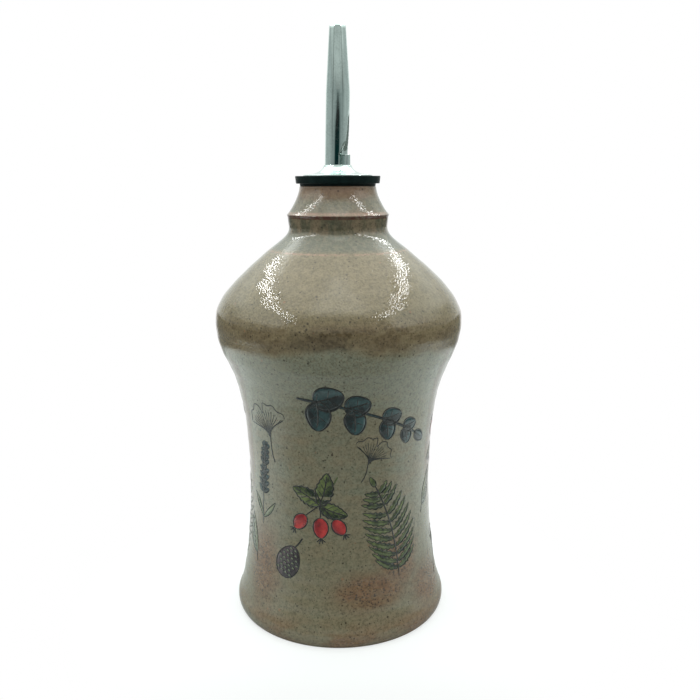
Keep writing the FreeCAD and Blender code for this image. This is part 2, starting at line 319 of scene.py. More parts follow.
TENT_TOP, TENT_SIDE, TENT_MIDDLE = 0.445, 0.28, -0.02
PANEL, PANEL_FADE, STRIP, KEY = (0.5, 0.66), 0.4, (0.006, 0.62), (0.7, 0.7)
PANEL_WATTS, STRIP_WATTS, KEY_WATTS = 2.19, 0.6, 1.8
ceiling = area_lamp("ceiling", (TENT_MIDDLE, 0.0, TENT_TOP), (TENT_MIDDLE, 0.0, 0), PANEL, PANEL_WATTS,
                    (0.98, 1.0, 0.98))
fade_front(ceiling, PANEL_FADE)
for side, name in ((-1, "left"), (1, "right")):
    strip_at = (side * TENT_SIDE + TENT_MIDDLE, 0.02, TENT_TOP - 0.004)
    area_lamp("strip_" + name, strip_at, (*strip_at[:2], 0), STRIP, STRIP_WATTS)
key = area_lamp("key", (0.0, -0.75, 0.5), (0, 0, 0.1), KEY, KEY_WATTS)
key.visible_glossy = False
print("lamps, in watts:", {lamp.name: round(lamp.energy, 2) for lamp in bpy.data.lights})

# %% [markdown]
# ## Floor and camera
# The bottle stands on white paper that runs into the white ground, with only a soft shadow around its
# foot.  A shadow catcher would have to be laid over white afterwards, so here the paper itself turns
# into plain white away from the bottle.  The glaze mirrors the paper too.  For light that does not go
# to the camera, the paper is therefore darker in front and close to the foot.

# %% Floor
FLOOR_HALF, PAPER, SHADED_PAPER = 3.0, (0.84, 0.89, 0.88, 1), (0.21, 0.22, 0.21, 1)


def floor_paper():
    """Paper whose tone, and whose share of plain white, depend on the place and on the kind of ray.

    To the camera, the share of white grows away from the object, to meet the ground.  Any other ray
    finds the paper darker in front of the bottle and close around it, where less light falls, which
    keeps the glaze from looking veiled.  In a mirror image it is white in a wedge behind the bottle,
    where the distance aside is small against the distance back.
    """
    material = bpy.data.materials.new("floor_paper")
    material.use_nodes = True
    net = Net(material.node_tree)
    here = net.add("TexCoord").outputs["Object"]
    spot = net.add("SeparateXYZ", {"Vector": here}).outputs
    away = net.add("VectorMath", {0: here}, operation="LENGTH").outputs["Value"]
    rays = net.add("LightPath").outputs
    front, far = net.ramp(spot["Y"], -0.03, -0.14), net.ramp(away, 0.28, 0.38)
    shade = net.times(net.ramp(away, 0.16, 0.06, 0.0, 0.5), net.minus(1.0, rays["Is Camera Ray"]))
    tone = net.mix(net.most(front, shade, net.times(far, rays["Is Glossy Ray"])), PAPER, SHADED_PAPER)
    aside = net.maths("DIVIDE", net.maths("ABSOLUTE", spot["X"]), net.maths("MAXIMUM", spot["Y"], 0.0005))
    near = net.times(net.ramp(away, 0.35, 0.25), net.ramp(aside, 1.5, 1.2))
    mirrored = net.times(rays["Is Glossy Ray"], net.most(near, net.ramp(aside, 0.56, 0.52)))
    mirrored = net.times(mirrored, net.ramp(away, 0.08, 0.2, 0.5, 1.0))
    share = net.times(net.most(rays["Is Camera Ray"], mirrored), net.ramp(away, 0.05, 0.12, 0.6, 1.0))
    paper = net.add("BsdfDiffuse", {"Color": tone})
    white = net.add("Emission", {"Color": (1, 1, 1, 1), "Strength": 1.0})
    both = net.add("MixShader")
    for socket, value in zip(both.inputs, (share, paper.outputs[0], white.outputs[0])):
        net.feed(socket, value)
    net.feed(net.add("OutputMaterial").inputs["Surface"], both.outputs[0])
    return material


def build_floor():
    """One wide square, which is staging and not part of the object."""
    mesh = bpy.data.meshes.new("floor")
    mesh.from_pydata([(x * FLOOR_HALF, y * FLOOR_HALF, 0) for x, y in ((-1, -1), (1, -1), (1, 1), (-1, 1))],
                     [], [(0, 1, 2, 3)])
    floor = bpy.data.objects.new("floor", mesh)
    bpy.context.scene.collection.objects.link(floor)
    mesh.materials.append(floor_paper())


build_floor()
print("floor:", 2 * FLOOR_HALF, "m square")

# %% Camera
LENS, SENSOR, CAMERA_PLACE = 40.45, 36.0, (0.0, -0.3245, 0.1819)
LOOKING_DOWN, ROLLED, TURNED = 12.2, 0.2, -0.87


def build_camera():
    """A close camera a little above the middle, looking slightly down, as one looks at a thing in hand."""
    data = bpy.data.cameras.new("camera")
    data.lens, data.sensor_width = LENS, SENSOR
    camera = bpy.data.objects.new("camera", data)
    bpy.context.scene.collection.objects.link(camera)
    camera.location = CAMERA_PLACE
    camera.rotation_euler = [math.radians(angle) for angle in (90 - LOOKING_DOWN, ROLLED, TURNED)]
    bpy.context.scene.camera = camera


build_camera()
bpy.context.scene.view_settings.view_transform = "Standard"
print(f"camera: {-CAMERA_PLACE[1]:.3f} m away, {LOOKING_DOWN} degrees down")

# %% [markdown]
# ## The bottle
# On the wheel the bottle is one wall of clay drawn up from a disc: a rolled foot, a slim waist, a round
# belly, a steep shoulder, and a neck with a sharp ridge under a hollow cone.  It could stay the turned
# solid of the frame, but that has no trace of the hand.  Here the same outline is turned again, and
# each point is pressed in by up to half a millimetre, as fingers leave rings behind.

# %% Outline of the bottle
# (radius, height) in mm where one stretch of the line ends and the next begins
FOOT, FLARE, WAIST, BELLY = (43.8, 0), (44.8, 6.8), (38.7, 57.0), (51.1, 126.0)
CREASE, NECK, BAND, RIDGE, RIM = (28.4, 154.4), (20.2, 163.8), (20.5, 167.4), (20.85, 168.2), (15.5, 179.65)
BORE, BORE_FLOOR = 10.6, 154.15
# points of the stretches up to the belly, and those of rim and bore, which stay smooth
FOOT_ROWS, FLARE_ROWS, WAIST_ROWS, BELLY_ROWS, MOUTH_ROWS = 8, 12, 44, 62, 16

outline = np.concatenate([
    straight((0, 0), FOOT, FOOT_ROWS),
    cubic(FOOT, (45.6, 1.63), (45.6, 5.03), FLARE, FLARE_ROWS),
    cubic(FLARE, (41.19, 14.83), (38.7, 40.94), WAIST, WAIST_ROWS),
    cubic(WAIST, (38.7, 112.9), (51.1, 106.7), BELLY, BELLY_ROWS),
    cubic(BELLY, (51.1, 133.95), (44.2, 141.3), CREASE, 44),
    cubic(CREASE, (23.6, 158.3), (20.2, 159.9), NECK, 16),
    straight(NECK, BAND, 5),
    corner(NECK, BAND, RIDGE, 0.15, 3),
    corner(BAND, RIDGE, (18.4, 170.7), 0.3, 5),
    cubic((20.6, 168.45), (18.44, 170.72), (15.78, 176.2), (15.5, 178.95), 22),
    corner((15.6, 178), RIM, (BORE, RIM[1]), 0.7, 6),
    straight((14.6, RIM[1]), (BORE + 0.6, RIM[1]), 3),
    corner((RIM[0], RIM[1]), (BORE, RIM[1]), (BORE, BORE_FLOOR), 0.5, 4),
    straight((BORE, RIM[1] - 2), (BORE, BORE_FLOOR), 3),
    straight((BORE, BORE_FLOOR), (0, BORE_FLOOR), 3),
    [(0, BORE_FLOOR)]])

# %% Relief left by the hand
def hand_relief(angle, height):
    """Millimetres pressed in: fine slanting rings and broader swells (sines up the height that drift
    around) and a slow wobble (two sines around), all fading out at the foot, the ridge and the rim."""
    rings = 0.05 * (1 + np.sin(height / 0.95 + 0.8 * np.sin(angle + height / 19)))
    swells = 0.07 * (1 + np.sin(height / 3.1 + 1.3 * np.sin(angle) + 0.7))
    wobble = 0.10 * (1 + np.sin(2 * angle + height / 41)) + 0.05 * (1 + np.sin(3 * angle - height / 29))
    body = np.clip((height - 3) / 8, 0, 1) * np.clip((166 - height) / 6, 0, 1)
    upper = np.clip((height - 169) / 2, 0, 1) * np.clip((178.5 - height) / 2, 0, 1)
    return body * (rings + swells + wobble) + upper * 0.4 * (rings + swells)


COLUMNS = 352
angles = circle(COLUMNS)
outer_wall = np.arange(len(outline)) < len(outline) - MOUTH_ROWS
depth = hand_relief(angles[None, :], outline[:, 1:2]) * outer_wall[:, None]
bottle = turned_skin("bottle_body", place(outline[:, :1] - depth, angles[None, :], outline[:, 1:2]),
                     ["bottle"])
print(f"bottle: {len(bottle.data.polygons)} faces, relief up to {depth.max():.2f} mm")

# %% [markdown]
# ## Shared effects
# Three effects turn up in more than one finish, so each is a node group, built once.  Iron speckle is
# made of dots that burn through glaze and transfers alike; it reads Object coordinates, so a dot that
# starts on the clay goes on over a painted leaf.  Orange peel is the fine unevenness of poured glaze.
# Smudges are the faint marks that handling leaves on bright metal and rubber.

# %% Node groups
def new_group(name, inputs, outputs):
    """An empty shader group with named number sockets (vectors where the default is a triple)."""
    tree = bpy.data.node_groups.new(name, "ShaderNodeTree")
    for label, default in inputs.items():
        kind = "NodeSocketVector" if isinstance(default, tuple) else "NodeSocketFloat"
        socket = tree.interface.new_socket(label, in_out="INPUT", socket_type=kind)
        socket.default_value = default
    for label in outputs:
        tree.interface.new_socket(label, in_out="OUTPUT", socket_type="NodeSocketFloat")
    net = Net(tree)
    return tree, net, net.add("NodeGroupInput").outputs, net.add("NodeGroupOutput").inputs


def build_speckle():
    """Dots: a cell pattern's distance to its centre, cut at a radius that differs from cell to cell,
    kept only in the share of cells whose random number is low enough."""
    tree, net, given, result = new_group(
        "iron_speckle", {"Vector": (0.0, 0.0, 0.0), "Spacing": 1.5, "Radius": 0.2, "Share": 0.5}, ["Mask"])
    scale = net.maths("DIVIDE", 1000.0, given["Spacing"])
    cells = net.add("TexVoronoi", {"Vector": given["Vector"], "Scale": scale})
    dice = net.add("SeparateColor", {"Color": cells.outputs["Color"]}).outputs
    radius = net.times(net.maths("DIVIDE", given["Radius"], given["Spacing"]),
                       net.plus(0.55, dice["Green"]))
    dot = net.ramp(cells.outputs["Distance"], radius, net.times(radius, 0.45))
    net.feed(result["Mask"], net.times(dot, net.maths("LESS_THAN", dice["Red"], given["Share"])))
    return tree


def build_peel():
    """Glaze relief: small bowls, as the square of the distance to a cell's centre, plus Coarse swells."""
    tree, net, given, result = new_group(
        "orange_peel", {"Vector": (0.0, 0.0, 0.0), "Grain": 0.8, "Coarse": 0.5}, ["Height"])
    scale = net.maths("DIVIDE", 1000.0, given["Grain"])
    bowls = net.add("TexVoronoi", {"Vector": given["Vector"], "Scale": scale, "Smoothness": 0.25},
                    feature="SMOOTH_F1").outputs["Distance"]
    swell = net.add("TexNoise", {"Vector": given["Vector"], "Scale": net.times(scale, 0.17),
                                 "Detail": 1.0}).outputs["Fac"]
    net.feed(result["Height"], net.plus(net.times(bowls, bowls), net.times(swell, given["Coarse"])))
    return tree


def build_smudge():
    """Patchy marks from 0 to 1: broad clouds times a finer noise, lifted by Amount."""
    tree, net, given, result = new_group(
        "smudge", {"Vector": (0.0, 0.0, 0.0), "Size": 6.0, "Amount": 0.5}, ["Mask"])
    scale = net.maths("DIVIDE", 1000.0, given["Size"])
    cloud = net.add("TexNoise", {"Vector": given["Vector"], "Scale": scale, "Detail": 3.0,
                                 "Roughness": 0.6, "Distortion": 0.6}).outputs["Fac"]
    fine = net.add("TexNoise", {"Vector": given["Vector"], "Scale": net.times(scale, 7.0),
                                "Detail": 2.0}).outputs["Fac"]
    net.feed(result["Mask"], net.times(net.ramp(net.times(cloud, fine), 0.15, 0.4), given["Amount"]))
    return tree


GROUPS = {"speckle": build_speckle(), "peel": build_peel(), "smudge": build_smudge()}
print("shared effects:", ", ".join(GROUPS))

# %% Material helpers
def use(net, effect, vector, **values):
    """Places a shared effect in a material with its own values."""
    node = net.add("Group", node_tree=GROUPS[effect])
    net.feed(node.inputs["Vector"], vector)
    for name, value in values.items():
        net.feed(node.inputs[name], value)
    return node.outputs[0]


def new_material(name, **settings):
    """A material with one Principled shader; constants go straight on the shader's own sockets."""
    material = bpy.data.materials.new(name)
    material.use_nodes = True
    net = Net(material.node_tree)
    shader = net.add("BsdfPrincipled")
    for label, value in settings.items():
        shader.inputs[label.replace("_", " ")].default_value = value
    net.feed(net.add("OutputMaterial").inputs["Surface"], shader.outputs[0])
    here = net.add("TexCoord").outputs["Object"]
    return material, net, shader.inputs, here


def relief(net, shader, height, size):
    """Bump of the given size in millimetres into the shader's normal."""
    bump = net.add("Bump", {"Height": height, "Strength": 1.0, "Distance": size * MM})
    net.feed(shader["Normal"], bump.outputs["Normal"])


def dress(piece, material):
    """One material for the whole piece."""
    piece.data.materials.clear()
    piece.data.materials.append(material)


print("material helpers: use, new_material, relief, dress")

# %% [markdown]
# ## Stoneware and its two glazes
# The clay is grey-brown with iron in it.  The waist has a thin, greenish satin glaze; the belly,
# shoulder and neck were dipped again, in a glossy tan glaze that gathers dark where it ends.  Flames
# toasted the foot in orange patches.  A bought texture could show this too, but masks by height and by
# distance from a spot put each mark where this bottle has it, and need no image.

# %% Masks over the bottle
RAGGED = 1.5  # how far noise moves a patch's edge, as a share of its spread


def patch(net, here, spot, spread, ragged, rim=0.35):
    """A soft patch: one minus the distance from a spot, stretched by its spread, roughened by noise."""
    offset = net.add("VectorMath", {0: here, 1: tuple(value * MM for value in spot)},
                     operation="SUBTRACT").outputs[0]
    scaled = net.add("VectorMath", {0: offset, 1: tuple(1 / (value * MM) for value in spread)},
                     operation="MULTIPLY").outputs[0]
    length = net.add("VectorMath", {0: scaled}, operation="LENGTH").outputs["Value"]
    reach = net.plus(length, net.times(net.minus(ragged, 0.5), RAGGED))
    return net.ramp(reach, 1.0 + rim, 1.0 - rim)


def band(net, level, centre, half, soft):
    """One within half a width of a height, falling to nothing over the soft margin (millimetres)."""
    away = net.maths("ABSOLUTE", net.minus(level, centre * MM))
    return net.climb(away, half + soft, half)


# spacing and radius of the iron dots in mm, share of places that have one, and strength
IRON_DOTS = ((0.8, 0.22, 0.5, 0.6), (1.6, 0.32, 0.5, 1.0), (3.0, 0.42, 0.45, 1.0), (6.5, 0.58, 0.35, 1.0))


def ware_masks(net, here):
    """Masks that bottle and transfers share: the dots of iron, and the unevenness of the glaze."""
    dots = net.most(*(net.times(use(net, "speckle", here, Spacing=spacing, Radius=radius, Share=share),
                                strength) for spacing, radius, share, strength in IRON_DOTS))
    return dots, use(net, "peel", here, Grain=0.8, Coarse=1.2)


print("iron dots come in", len(IRON_DOTS), "sizes, up to", max(dot[1] for dot in IRON_DOTS), "mm")

# %% Stoneware: noises that the glazes share
def ware_noises(net, here):
    """Place, height, clouds, mottle, fine grain, grit, dots and peel in one set.

    Clouds and mottle are noise that is squeezed in height, so that they lie along the throwing rings.
    """
    flat = net.add("Mapping", {"Vector": here, "Scale": (1.0, 1.0, 2.2)}).outputs[0]
    place_on = net.add("SeparateXYZ", {"Vector": here}).outputs
    dots, peel = ware_masks(net, here)
    return SimpleNamespace(here=here, level=place_on["Z"], behind=place_on["Y"], flat=flat,
                           clouds=net.noise(flat, 26, 3, 0.6), mottle=net.noise(flat, 7.0, 2, 0.55),
                           fine=net.noise(here, 0.8, 3, 0.6), grit=net.noise(here, 1.5, 2, 0.6),
                           dots=dots, peel=peel)

# %% Stoneware: the two glazes
def waist_glaze(net, ware):
    """Greenish grey that warms in clouds and mottle, browner to the foot and paler under the dip."""
    tone = net.mix(net.ramp(ware.clouds, 0.35, 0.65), colour(109, 112, 94), colour(116, 110, 89))
    tone = net.mix(net.ramp(ware.mottle, 0.45, 0.75, 0, 0.4), tone, colour(127, 111, 88))
    tone = net.mix(net.climb(ware.level, 75, 30, 0, 0.6), tone, colour(104, 97, 74))
    return net.mix(net.climb(ware.level, 83, 110, 0, 0.8), tone, colour(121, 124, 106))


def dip_height(net, ware):
    """Height as the second dip measured it: tilted to the front, and wavering with the clouds."""
    tilted = net.plus(ware.level, net.times(ware.behind, 0.15))
    return net.plus(tilted, net.times(net.minus(ware.clouds, 0.5), 8 * MM))


def dipped_glaze(net, ware, dip):
    """Tan, greyer on the shoulder.  It gathers brown near its edge, with a dark patch at the front that is
    partly a pool of glaze and partly painted reflection of the tent's dark front, runs into streaks in the
    hollow under the ridge, darker there partly as painted shade, is olive at the neck's foot and toasted
    on the cone."""
    level, mottled = ware.level, net.ramp(ware.mottle, 0.35, 0.7)
    shoulder = net.mix(mottled, colour(107, 98, 72), colour(115, 105, 78))
    tone = net.mix(mottled, colour(121, 108, 81), colour(130, 116, 88))
    tone = net.mix(net.climb(level, 126, 134.5), tone, shoulder)
    gathered = net.times(band(net, dip, 119, 2.5, 7.5),
                         net.ramp(net.noise(ware.flat, 11, 4, 0.7), 0.4, 0.62, 0.15, 0.9))
    tone = net.mix(gathered, tone, colour(92, 77, 54))
    # the dark patch at the belly's front: partly a pool of glaze, partly painted reflection of the tent's
    # dark front
    pool_and_painted_reflection = net.times(patch(net, ware.here, (-6, -49, 125), (13, 12, 4), ware.mottle, 0.5), 0.55)
    tone = net.mix(pool_and_painted_reflection, tone, colour(56, 48, 34))
    # the streaks under the ridge are glaze runs, darker than the glaze partly as painted shade of the
    # hollow under the ridge
    tall = net.add("Mapping", {"Vector": ware.here, "Scale": (1.0, 1.0, 0.35)}).outputs[0]
    streaks_and_painted_shade = net.mix(net.ramp(net.noise(tall, 4, 3, 0.6), 0.35, 0.65), colour(68, 69, 53),
                       colour(108, 95, 75))
    tone = net.mix(net.times(net.climb(level, 159.5, 162), net.climb(level, 169, 167.5)), tone, streaks_and_painted_shade)
    neck_foot = net.times(net.climb(level, 154.1, 156), net.climb(level, 162, 160))
    tone = net.mix(neck_foot, tone, colour(79, 82, 63))
    cone = net.mix(net.ramp(ware.clouds, 0.45, 0.6), colour(88, 84, 63), colour(95, 80, 59))
    return net.mix(net.climb(level, 168.3, 169.5), tone, cone)

# %% Stoneware: flame marks
# a patch's middle and spread in mm, the noise that makes it ragged, and how far its edge fades
FLAMED = (((12, -41, 21), (15, 16, 7.5), "clouds", 0.5), ((25, -34, 31), (9, 12, 10), "mottle", 0.5),
          ((-32, -27, 28), (7, 12, 16), "mottle", 0.6), ((38, -20, 16), (9, 15, 9), "clouds", 0.6),
          ((20, 40, 30), (26, 12, 12), "clouds", 0.6))


def flame_masks(net, ware):
    """Two masks: where flames toasted the glaze, and where iron burnt through it in close specks."""
    flamed = net.most(*(patch(net, ware.here, spot, spread, getattr(ware, ragged), rim)
                        for spot, spread, ragged, rim in FLAMED))
    foot = net.times(net.climb(ware.level, 14, 2), net.ramp(ware.clouds, 0.35, 0.6, 0.15, 0.9))
    toast = net.times(net.most(flamed, foot), net.ramp(ware.mottle, 0.25, 0.6, 0.6, 0.95))
    burnt = net.times(net.most(flamed, net.times(foot, 0.5)),
                      use(net, "speckle", ware.here, Spacing=0.9, Radius=0.4, Share=0.9))
    return toast, burnt


print("flame marks:", len(FLAMED), "patches and the foot")

# %% Stoneware: grain, thin edges and stray dots
def grained(net, ware, tone):
    """Dark grain from the fine noise, then pale and dark grit from the two ends of the coarser one."""
    tone = net.mix(net.ramp(ware.fine, 0.4, 0.7, 0.0, 0.5), tone, colour(62, 54, 42))
    tone = net.mix(net.ramp(ware.grit, 0.4, 0.7, 0.0, 0.22), tone, colour(140, 126, 100))
    return net.mix(net.ramp(ware.grit, 0.5, 0.3, 0.0, 0.25), tone, colour(66, 60, 44))


def thin_edges(net, ware, tone):
    """Pinkish clay where the glaze ran thin: above the ridge, along the crease at the shoulder's top,
    below the rim and in one spot.  Then a dark rust-coloured line under the ridge, partly the glaze's own
    colour and partly painted shadow under the ridge's lip."""
    ridge = net.times(band(net, ware.level, 168.9, 0.25, 0.7), net.ramp(ware.fine, 0.35, 0.6, 0.1, 0.6))
    crease = net.times(band(net, ware.level, 154.3, 0.05, 0.5), net.ramp(ware.grit, 0.4, 0.6, 0.05, 0.5))
    rim = net.times(net.climb(ware.level, 173, 178.5), 0.32)
    spot = net.times(patch(net, ware.here, (24, -8, 151.5), (3.4, 5, 2.6), ware.mottle), 0.6)
    tone = net.mix(net.most(ridge, crease, rim, spot), tone, colour(148, 112, 94))
    # a dark line under the ridge: partly rust-coloured glaze, partly painted shadow under the ridge's lip
    rust_and_painted_shadow = net.times(band(net, ware.level, 167.7, 0.45, 0.6), net.ramp(ware.grit, 0.35, 0.6, 0.35, 1.0))
    return net.mix(rust_and_painted_shadow, tone, colour(74, 38, 26))


def stray_dots(net, ware, tone):
    """A few rust-red and a few pale dots, further apart than the iron ones."""
    rust = use(net, "speckle", ware.here, Spacing=5.0, Radius=0.5, Share=0.3)
    tone = net.mix(net.times(rust, 0.4), tone, colour(140, 88, 62))
    pale = use(net, "speckle", ware.here, Spacing=6.0, Radius=0.24, Share=0.4)
    return net.mix(net.times(pale, 0.6), tone, colour(176, 168, 148))

# %% Stoneware material
IRON = colour(40, 32, 25)


def make_stoneware():
    """Waist glaze and dipped glaze, toasted, grained, thin at the edges and dotted with iron.

    The dipped part is smooth and glossy, the waist satin, and a toasted or bare place duller still.
    """
    material, net, shader, here = new_material("glazed_stoneware", IOR=1.58)
    ware = ware_noises(net, here)
    dip = dip_height(net, ware)
    dipped = net.climb(dip, 111.5, 115.5)
    toast, burnt = flame_masks(net, ware)
    tone = net.mix(dipped, waist_glaze(net, ware), dipped_glaze(net, ware, dip))
    tone = grained(net, ware, net.mix(toast, tone, colour(110, 77, 49)))
    tone = stray_dots(net, ware, thin_edges(net, ware, tone))
    iron = net.most(net.times(ware.dots, net.climb(ware.level, 128, 140, 0.85, 0.65)),
                    net.times(burnt, 0.88))
    net.feed(shader["Base Color"], net.mix(iron, tone, IRON))

    bare = net.times(net.climb(ware.level, 2.2, 0.8), 0.4)
    satin = net.plus(net.ramp(ware.mottle, 0.3, 0.7, 0.13, 0.19), net.times(toast, 0.12))
    rough = net.mix(dipped, satin, net.ramp(ware.mottle, 0.3, 0.7, 0.035, 0.06))
    net.feed(shader["Roughness"], net.plus(rough, bare))
    lumps = net.times(ware.peel, net.plus(0.25, net.times(dipped, 0.75)))
    relief(net, shader, net.minus(lumps, net.times(iron, 0.1)), 0.047)
    return material


stoneware = make_stoneware()
dress(bottle, stoneware)
print("stoneware:", len(stoneware.node_tree.nodes), "nodes")

# %% [markdown]
# ## Botanical transfers
# The waist carries printed transfers: leaves, hips and seed heads in watercolour tones under a pen line,
# fired into the glaze, so they are smooth and the iron dots come through them.  They could be masks in
# the material, but a leaf is easier to draw as what it is, a thin sheet.  So each motif is drawn flat,
# in millimetres, from leaves and pen strokes, and every one of them is a line with a width.

# %% Lines and swathes in the flat
def stalk(base, heading, length, bend=0.0, count=20):
    """Points along a stalk: steps whose heading turns steadily by bend (radians), summed from the base.
    The steps are shorter towards both ends, where a leaf's edge turns quickest."""
    along = np.linspace(0, 1, count)
    along = 0.5 * along + 0.25 * (1 - np.cos(math.pi * along))
    turn = heading + bend * (along[1:] - 0.5)
    steps = np.stack([np.cos(turn), np.sin(turn)], axis=-1) * (length * np.diff(along))[:, None]
    return along, np.array(base, float) + np.concatenate([np.zeros((1, 2)), np.cumsum(steps, axis=0)])


def sideways(line):
    """Unit vectors to the left of a line: its direction turned by a quarter."""
    way = np.gradient(line, axis=0)
    way /= np.linalg.norm(way, axis=1, keepdims=True)
    return np.stack([-way[:, 1], way[:, 0]], axis=-1)


def swathe(line, half, columns):
    """A grid of points: the line moved sideways by its half width times -1 to 1."""
    share = np.linspace(-1, 1, columns)
    return line[:, None] + sideways(line)[:, None] * (np.maximum(half, 0.06)[:, None] * share)[..., None]


end = stalk((0, 0), 0.0, 20, 1.0)[1][-1]
print(f"a 20 mm stalk that bends by one radian reaches {np.hypot(*end):.1f} mm")

# %% Leaves and pen strokes
class Motif:
    """A drawing: grids of flat points, each with its tint and its tone from dark (0) to pale (1)."""

    def __init__(self):
        self.grids = []

    def wash(self, tint, grid, tone):
        """Adds a grid of flat points in one tint; its tone is one number or an array of them."""
        self.grids.append((tint, grid, np.broadcast_to(tone, grid.shape[:2])))

    def stroke(self, line, width=0.42, tint="ink", tone=0.4):
        """A pen line: a narrow swathe, thinned towards both ends."""
        share = np.linspace(0, 1, len(line))
        half = width / 2 * np.clip(0.4 + 7 * np.minimum(share, 1 - share), 0, 1)
        self.wash(tint, swathe(line, half, 2), tone)

    def leaf(self, tint, base, heading, length, width, bend=0.3, fat=0.9, blunt=0.85, lobes=0,
             cut=0.3, veins=4, pen=0.48):
        """A leaf around a stalk: half width = sine of pi times (share ** fat), to the power blunt,
        narrowed by a cosine wave for its lobes; one side of the wash is darker.  Then its pen lines:
        edge, midrib and slanting veins."""
        along, line = stalk(base, heading, length, bend, 12 + int(length) + 5 * lobes)
        half = width / 2 * np.maximum(np.sin(math.pi * along ** fat), 0) ** blunt
        half *= 1 - cut * (0.5 + 0.5 * np.cos(2 * math.pi * lobes * along)) if lobes else 1
        left = sideways(line)
        if tint:
            columns = 2 * max(1, round(width / 2.4)) + 1
            share = np.linspace(-1, 1, columns)[None, :]
            tone = 0.5 + 0.28 * np.sign(share) + 0.3 * (along[:, None] - 0.5) - 0.2 * share ** 2
            self.wash(tint, swathe(line, half, columns), tone)
        for side in (-1, 1):
            self.stroke(line + left * (side * np.maximum(half, 0.05))[:, None], pen)
            for vein in range(veins):
                start = int((0.16 + 0.62 * vein / veins) * len(line))
                end = min(start + max(2, len(line) // 7), len(line) - 2)
                tip = line[end] + left[end] * side * half[end] * 0.72
                self.stroke(np.linspace(line[start], tip, 4), pen * 0.6)
        if veins:
            self.stroke(line[:int(len(line) * 0.86)], pen)


trial = Motif()
trial.leaf("green", (0, 0), 0.0, 20, 8)
print("a plain leaf is one wash and", len(trial.grids) - 1, "pen strokes")

# %% [markdown]
# ## The motifs
# The transfers show garden plants: a sprig of round leaves, a fern, rose hips, fan leaves, a seed cone,
# lavender and sage.  They could be painted as an image, but as curves they stay sharp from close by and
# need no file.  Each plant is a function that bends a stalk and sets leaves and pen strokes along it.

# %% Sprigs and ferns
UPRIGHT = 1.57  # a heading, in radians like all of them


def step_at(line, share):
    """Number of the point that stands at a share of the way along a line."""
    return int(share * (len(line) - 1))


def round_leaf_sprig():
    """A drooping stalk with opposite round blue-green leaves, smaller towards the tip."""
    motif = Motif()
    line = stalk((0, 0), 0.25, 44, -0.5, 40)[1]
    for side, share in ((1, .18), (-1, .22), (1, .4), (-1, .45), (1, .62), (-1, .66), (1, .82), (-1, .84)):
        at = line[step_at(line, share)]
        size = 11.5 - 6.5 * share
        motif.leaf("blue", at, side * (1.05 - 0.35 * share) - 0.1, size, size * 0.82, 0.35 * side, 0.85,
                   0.55, veins=2)
    motif.leaf("blue", line[-1], 0.0, 6.5, 3.8, 0.2, 0.85, 0.6, veins=1)
    motif.stroke(line, 0.9, "blue", 0.1)
    motif.stroke(line + sideways(line) * 0.4, 0.3)
    return motif


def fern():
    """An arching rib with paired, toothed fronds that shorten towards the tip."""
    motif = Motif()
    line = stalk((0, 0), UPRIGHT, 42, 0.5, 44)[1]
    for pair in range(11):
        share = 0.14 + 0.8 * pair / 11
        step = step_at(line, share)
        at, ahead = line[step], line[step + 1]
        heading = math.atan2(*(ahead - at)[::-1])
        size = 12.5 * math.sin(math.pi * (0.22 + 0.76 * share)) + 1.5
        for side in (-1, 1):
            motif.leaf("green", at, heading + side * 1.05, size, 2.9, -0.5 * side, 0.75, 0.8,
                       lobes=max(3, int(size / 2)), cut=0.35, veins=0, pen=0.26)
            motif.stroke(stalk(at, heading + side * 1.05, size * 0.8, -0.5 * side, 8)[1], 0.2)
    motif.leaf("green", line[-2], 1.85, 5, 2.2, 0.0, 0.75, 0.8, veins=0, pen=0.26)
    motif.stroke(line, 0.6)
    return motif


print("sprig and fern:", len(round_leaf_sprig().grids), "and", len(fern().grids), "grids")

# %% Rose hips and fan leaves
def rose_hips():
    """Three red hips with crowns on short stalks, over a fan of toothed green leaves."""
    motif = Motif()
    for heading, length, width in ((2.5, 13, 7), (1.2, 14, 7.5), (-0.5, 12, 6.5)):
        motif.leaf("green", (0, 0), heading, length, width, 0.35, 0.8, 0.75, lobes=6, cut=0.14, veins=4)
    motif.stroke(stalk((9, 11), 3.9, 18, -0.5, 18)[1], 0.7, "green", 0.15)
    for x, y, heading, size in ((-7.5, -5.5, 3.9, 7.6), (-0.5, -7.5, 4.6, 8.4), (5.5, -9.5, 5.2, 7.2)):
        motif.stroke(np.linspace((0.4, 0.2), (x * 0.9, y * 0.75), 8), 0.5)
        motif.leaf("red", (x * 0.86, y * 0.7), heading, size, size * 0.74, 0.0, 0.95, 0.5, veins=0)
        tip = np.array((x * 0.86 + size * math.cos(heading), y * 0.7 + size * math.sin(heading)))
        for turn in (-0.8, -0.3, 0.3, 0.8):
            motif.stroke(stalk(tip, heading + turn, 2.5, 0.4 * turn, 5)[1], 0.5)
    return motif


def fan_leaf():
    """A fan in pen alone: two hollow sides, a wavy notched top edge and veins that spread from the stem."""
    motif = Motif()
    spread = np.linspace(-0.95, 0.95, 46)
    reach = 14.5 + 0.5 * np.sin(spread * 17) - 4.2 * np.exp(-(spread / 0.07) ** 2) - 1.6 * spread ** 2
    edge = np.stack([reach * np.sin(spread), reach * np.cos(spread)], axis=-1)
    motif.stroke(edge, 0.44)
    for end in (edge[0], edge[-1]):
        motif.stroke(cubic((0, 0), (0.04 * end[0], 5.5), (0.55 * end[0], 0.72 * end[1]), end, 18), 0.44)
    for step in np.linspace(2, 43, 14).astype(int):
        side, end = np.clip(spread[step] * 1.2, -1, 1), edge[step]
        motif.stroke(cubic((side * 0.5, 1.5), (side * 1.0, 5.0), end * 0.6, end * 0.9, 12), 0.27)
    motif.stroke(stalk((0, 0.5), -1.7, 9.5, 0.5, 12)[1], 0.5)
    return motif


print("hips and fan:", len(rose_hips().grids), "and", len(fan_leaf().grids), "grids")

